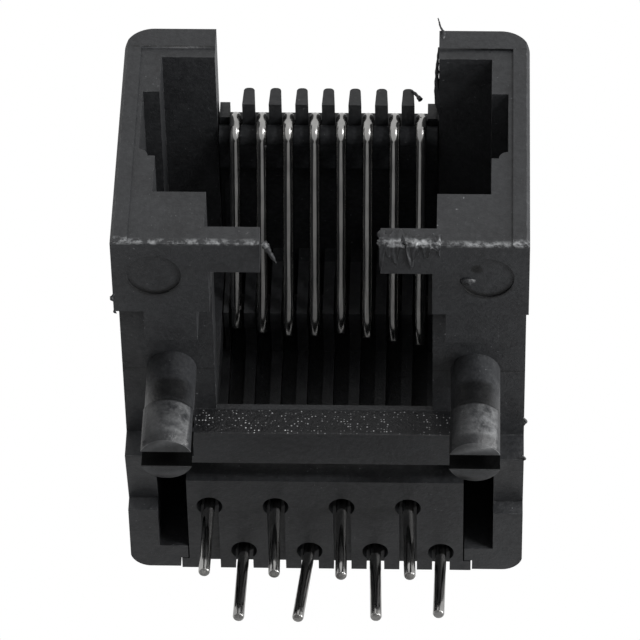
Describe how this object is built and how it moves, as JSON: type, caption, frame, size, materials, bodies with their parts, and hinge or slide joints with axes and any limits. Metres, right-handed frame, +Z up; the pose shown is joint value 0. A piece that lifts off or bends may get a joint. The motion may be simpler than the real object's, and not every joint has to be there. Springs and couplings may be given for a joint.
{
  "type": "modular jack",
  "caption": "Low-profile side-entry modular board jack: black housing with a plug opening, split board pegs and sprung wire contacts ending in staggered pins.",
  "frame": {"origin": "on the board surface, midway between the axes of the two pegs", "axes": "+Z up from the board, -Y out of the plug opening, +X to the right seen from the plug side"},
  "size_m": [0.0154, 0.0179, 0.015],
  "materials": {
    "housing": "fine moulded texture, satin on the pegs",
    "carrier": "fine moulded texture",
    "contact": "bright plated wire, drawn along its length"
  },
  "bodies": {
    "root": {"housing": "housing", "contact_carrier": "carrier", "contact_1": "contact", "contact_2": "contact", "contact_3": "contact", "contact_4": "contact", "contact_5": "contact", "contact_6": "contact", "contact_7": "contact", "contact_8": "contact"}
  },
  "joints": []
}
